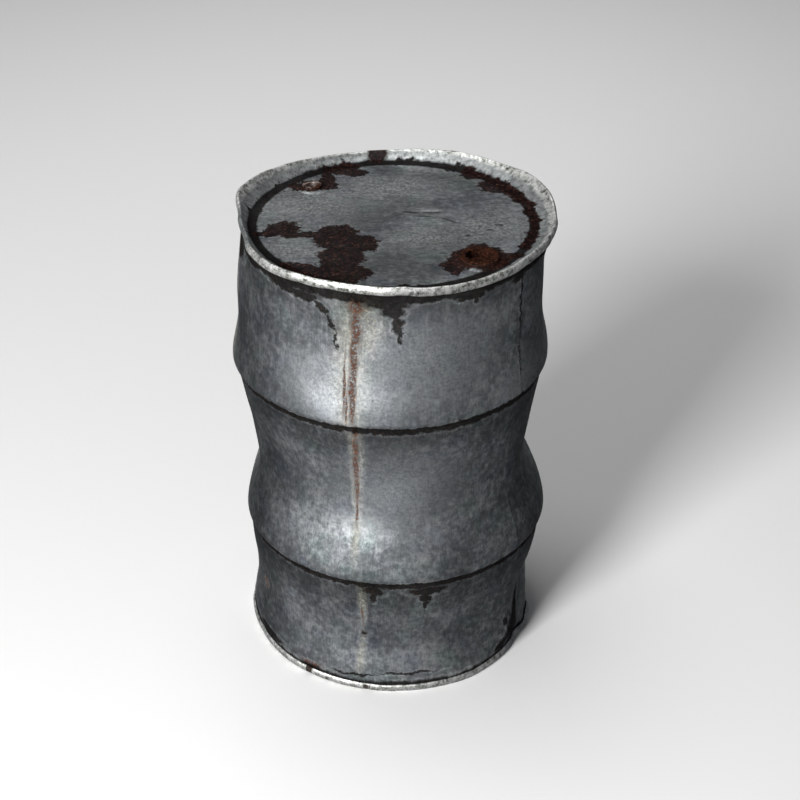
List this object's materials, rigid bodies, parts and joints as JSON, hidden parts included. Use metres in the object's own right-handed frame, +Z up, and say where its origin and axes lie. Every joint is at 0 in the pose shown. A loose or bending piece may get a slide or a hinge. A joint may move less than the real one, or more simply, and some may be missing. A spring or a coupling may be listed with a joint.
{
  "type": "steel drum",
  "caption": "Tight-head steel drum: a rolled shell with swaged rolling hoops, seamed heads and screwed bungs in the top.",
  "frame": {"origin": "centre of the bottom chime, on the floor", "axes": "+Z up along the drum's axis, -Y towards the front"},
  "size_m": [0.5961, 0.5958, 0.88],
  "materials": {
    "weathered_steel": "bare steel sheet, worn and stained with rust",
    "closure_steel": "steel, heavily rusted",
    "gasket_rubber": "aged black rubber",
    "seam_compound": "dried sealing compound"
  },
  "bodies": {
    "drum": {"body_shell": "weathered_steel", "top_head": "weathered_steel", "bottom_head": "weathered_steel", "top_seam_compound": "seam_compound", "bottom_seam_compound": "seam_compound", "large_bung_flange": "closure_steel", "large_flange_washer": "gasket_rubber", "small_bung_flange": "closure_steel", "small_flange_washer": "gasket_rubber"},
    "large_gasket": {"large_bung_gasket": "gasket_rubber"},
    "large_plug": {"large_bung_plug": "closure_steel"},
    "small_gasket": {"small_bung_gasket": "gasket_rubber"},
    "small_plug": {"small_bung_plug": "closure_steel"}
  },
  "joints": [
    {"name": "large_bung_rise", "type": "slide", "parent": "drum", "child": "large_gasket", "axis": [0, 0, 1], "range_m": [0, 0.0116]},
    {"name": "large_bung_turn", "type": "hinge", "parent": "large_gasket", "child": "large_plug", "pos_m": [0.15378, -0.14593, 0.8712], "axis": [0, 0, 1], "range_deg": [0, 1800]},
    {"name": "small_bung_rise", "type": "slide", "parent": "drum", "child": "small_gasket", "axis": [0, 0, 1], "range_m": [0, 0.0092]},
    {"name": "small_bung_turn", "type": "hinge", "parent": "small_gasket", "child": "small_plug", "pos_m": [-0.15378, 0.14593, 0.8711], "axis": [0, 0, 1], "range_deg": [0, 1800]}
  ],
  "couplings": [
    {"joint": "large_bung_rise", "follows": "large_bung_turn", "m_per_rad": 0.00036749},
    {"joint": "small_bung_rise", "follows": "small_bung_turn", "m_per_rad": 0.00028871}
  ]
}
